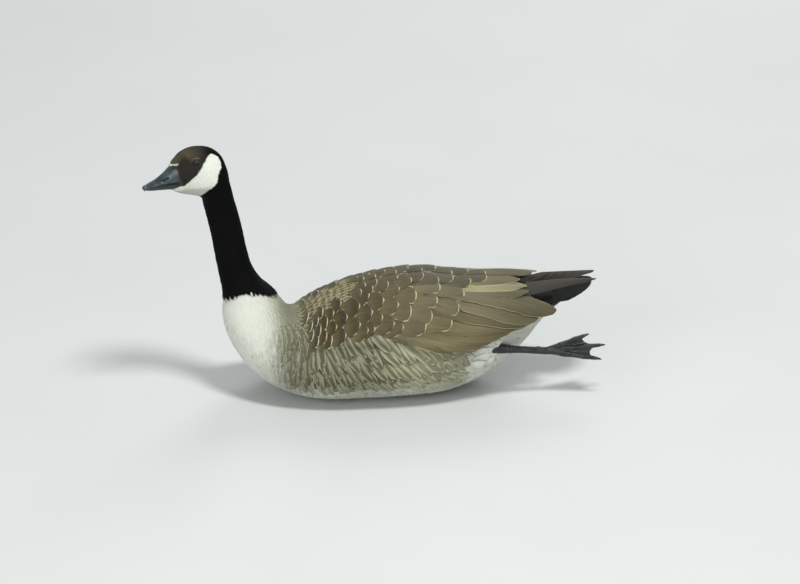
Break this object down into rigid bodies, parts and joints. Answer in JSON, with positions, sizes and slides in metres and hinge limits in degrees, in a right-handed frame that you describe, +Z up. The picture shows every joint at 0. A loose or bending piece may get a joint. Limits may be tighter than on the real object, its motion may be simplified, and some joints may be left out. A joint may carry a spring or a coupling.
{
  "type": "canada goose",
  "caption": "Canada goose afloat: long raised neck, folded wings over the tail and one leg trailing behind, as a still life-size model that rests on its belly.",
  "frame": {"origin": "on the floor, below the middle of the bird's bounding box", "axes": "-X to the bill, +X to the tail, -Y to the bird's left side, +Z up"},
  "size_m": [0.713, 0.234, 0.413],
  "materials": {
    "body_feathers": "soft body feathers, pale grey-brown and white",
    "neck_feathers": "short velvety black feathers",
    "wing_feathers": "brown feathers with pale edges",
    "tail_feathers": "black feathers with a slight sheen",
    "bill": "smooth black horn",
    "eye": "wet dark brown",
    "leg_skin": "scaled black skin"
  },
  "bodies": {
    "root": {"torso": "body_feathers", "neck": "neck_feathers", "head": "neck_feathers", "wing_left": "wing_feathers", "wing_right": "wing_feathers", "tail": "tail_feathers", "bill_upper": "bill", "bill_lower": "bill", "eye_left": "eye", "eye_right": "eye", "leg_left": "leg_skin", "leg_right": "leg_skin", "foot_left": "leg_skin", "foot_right": "leg_skin"}
  },
  "joints": []
}
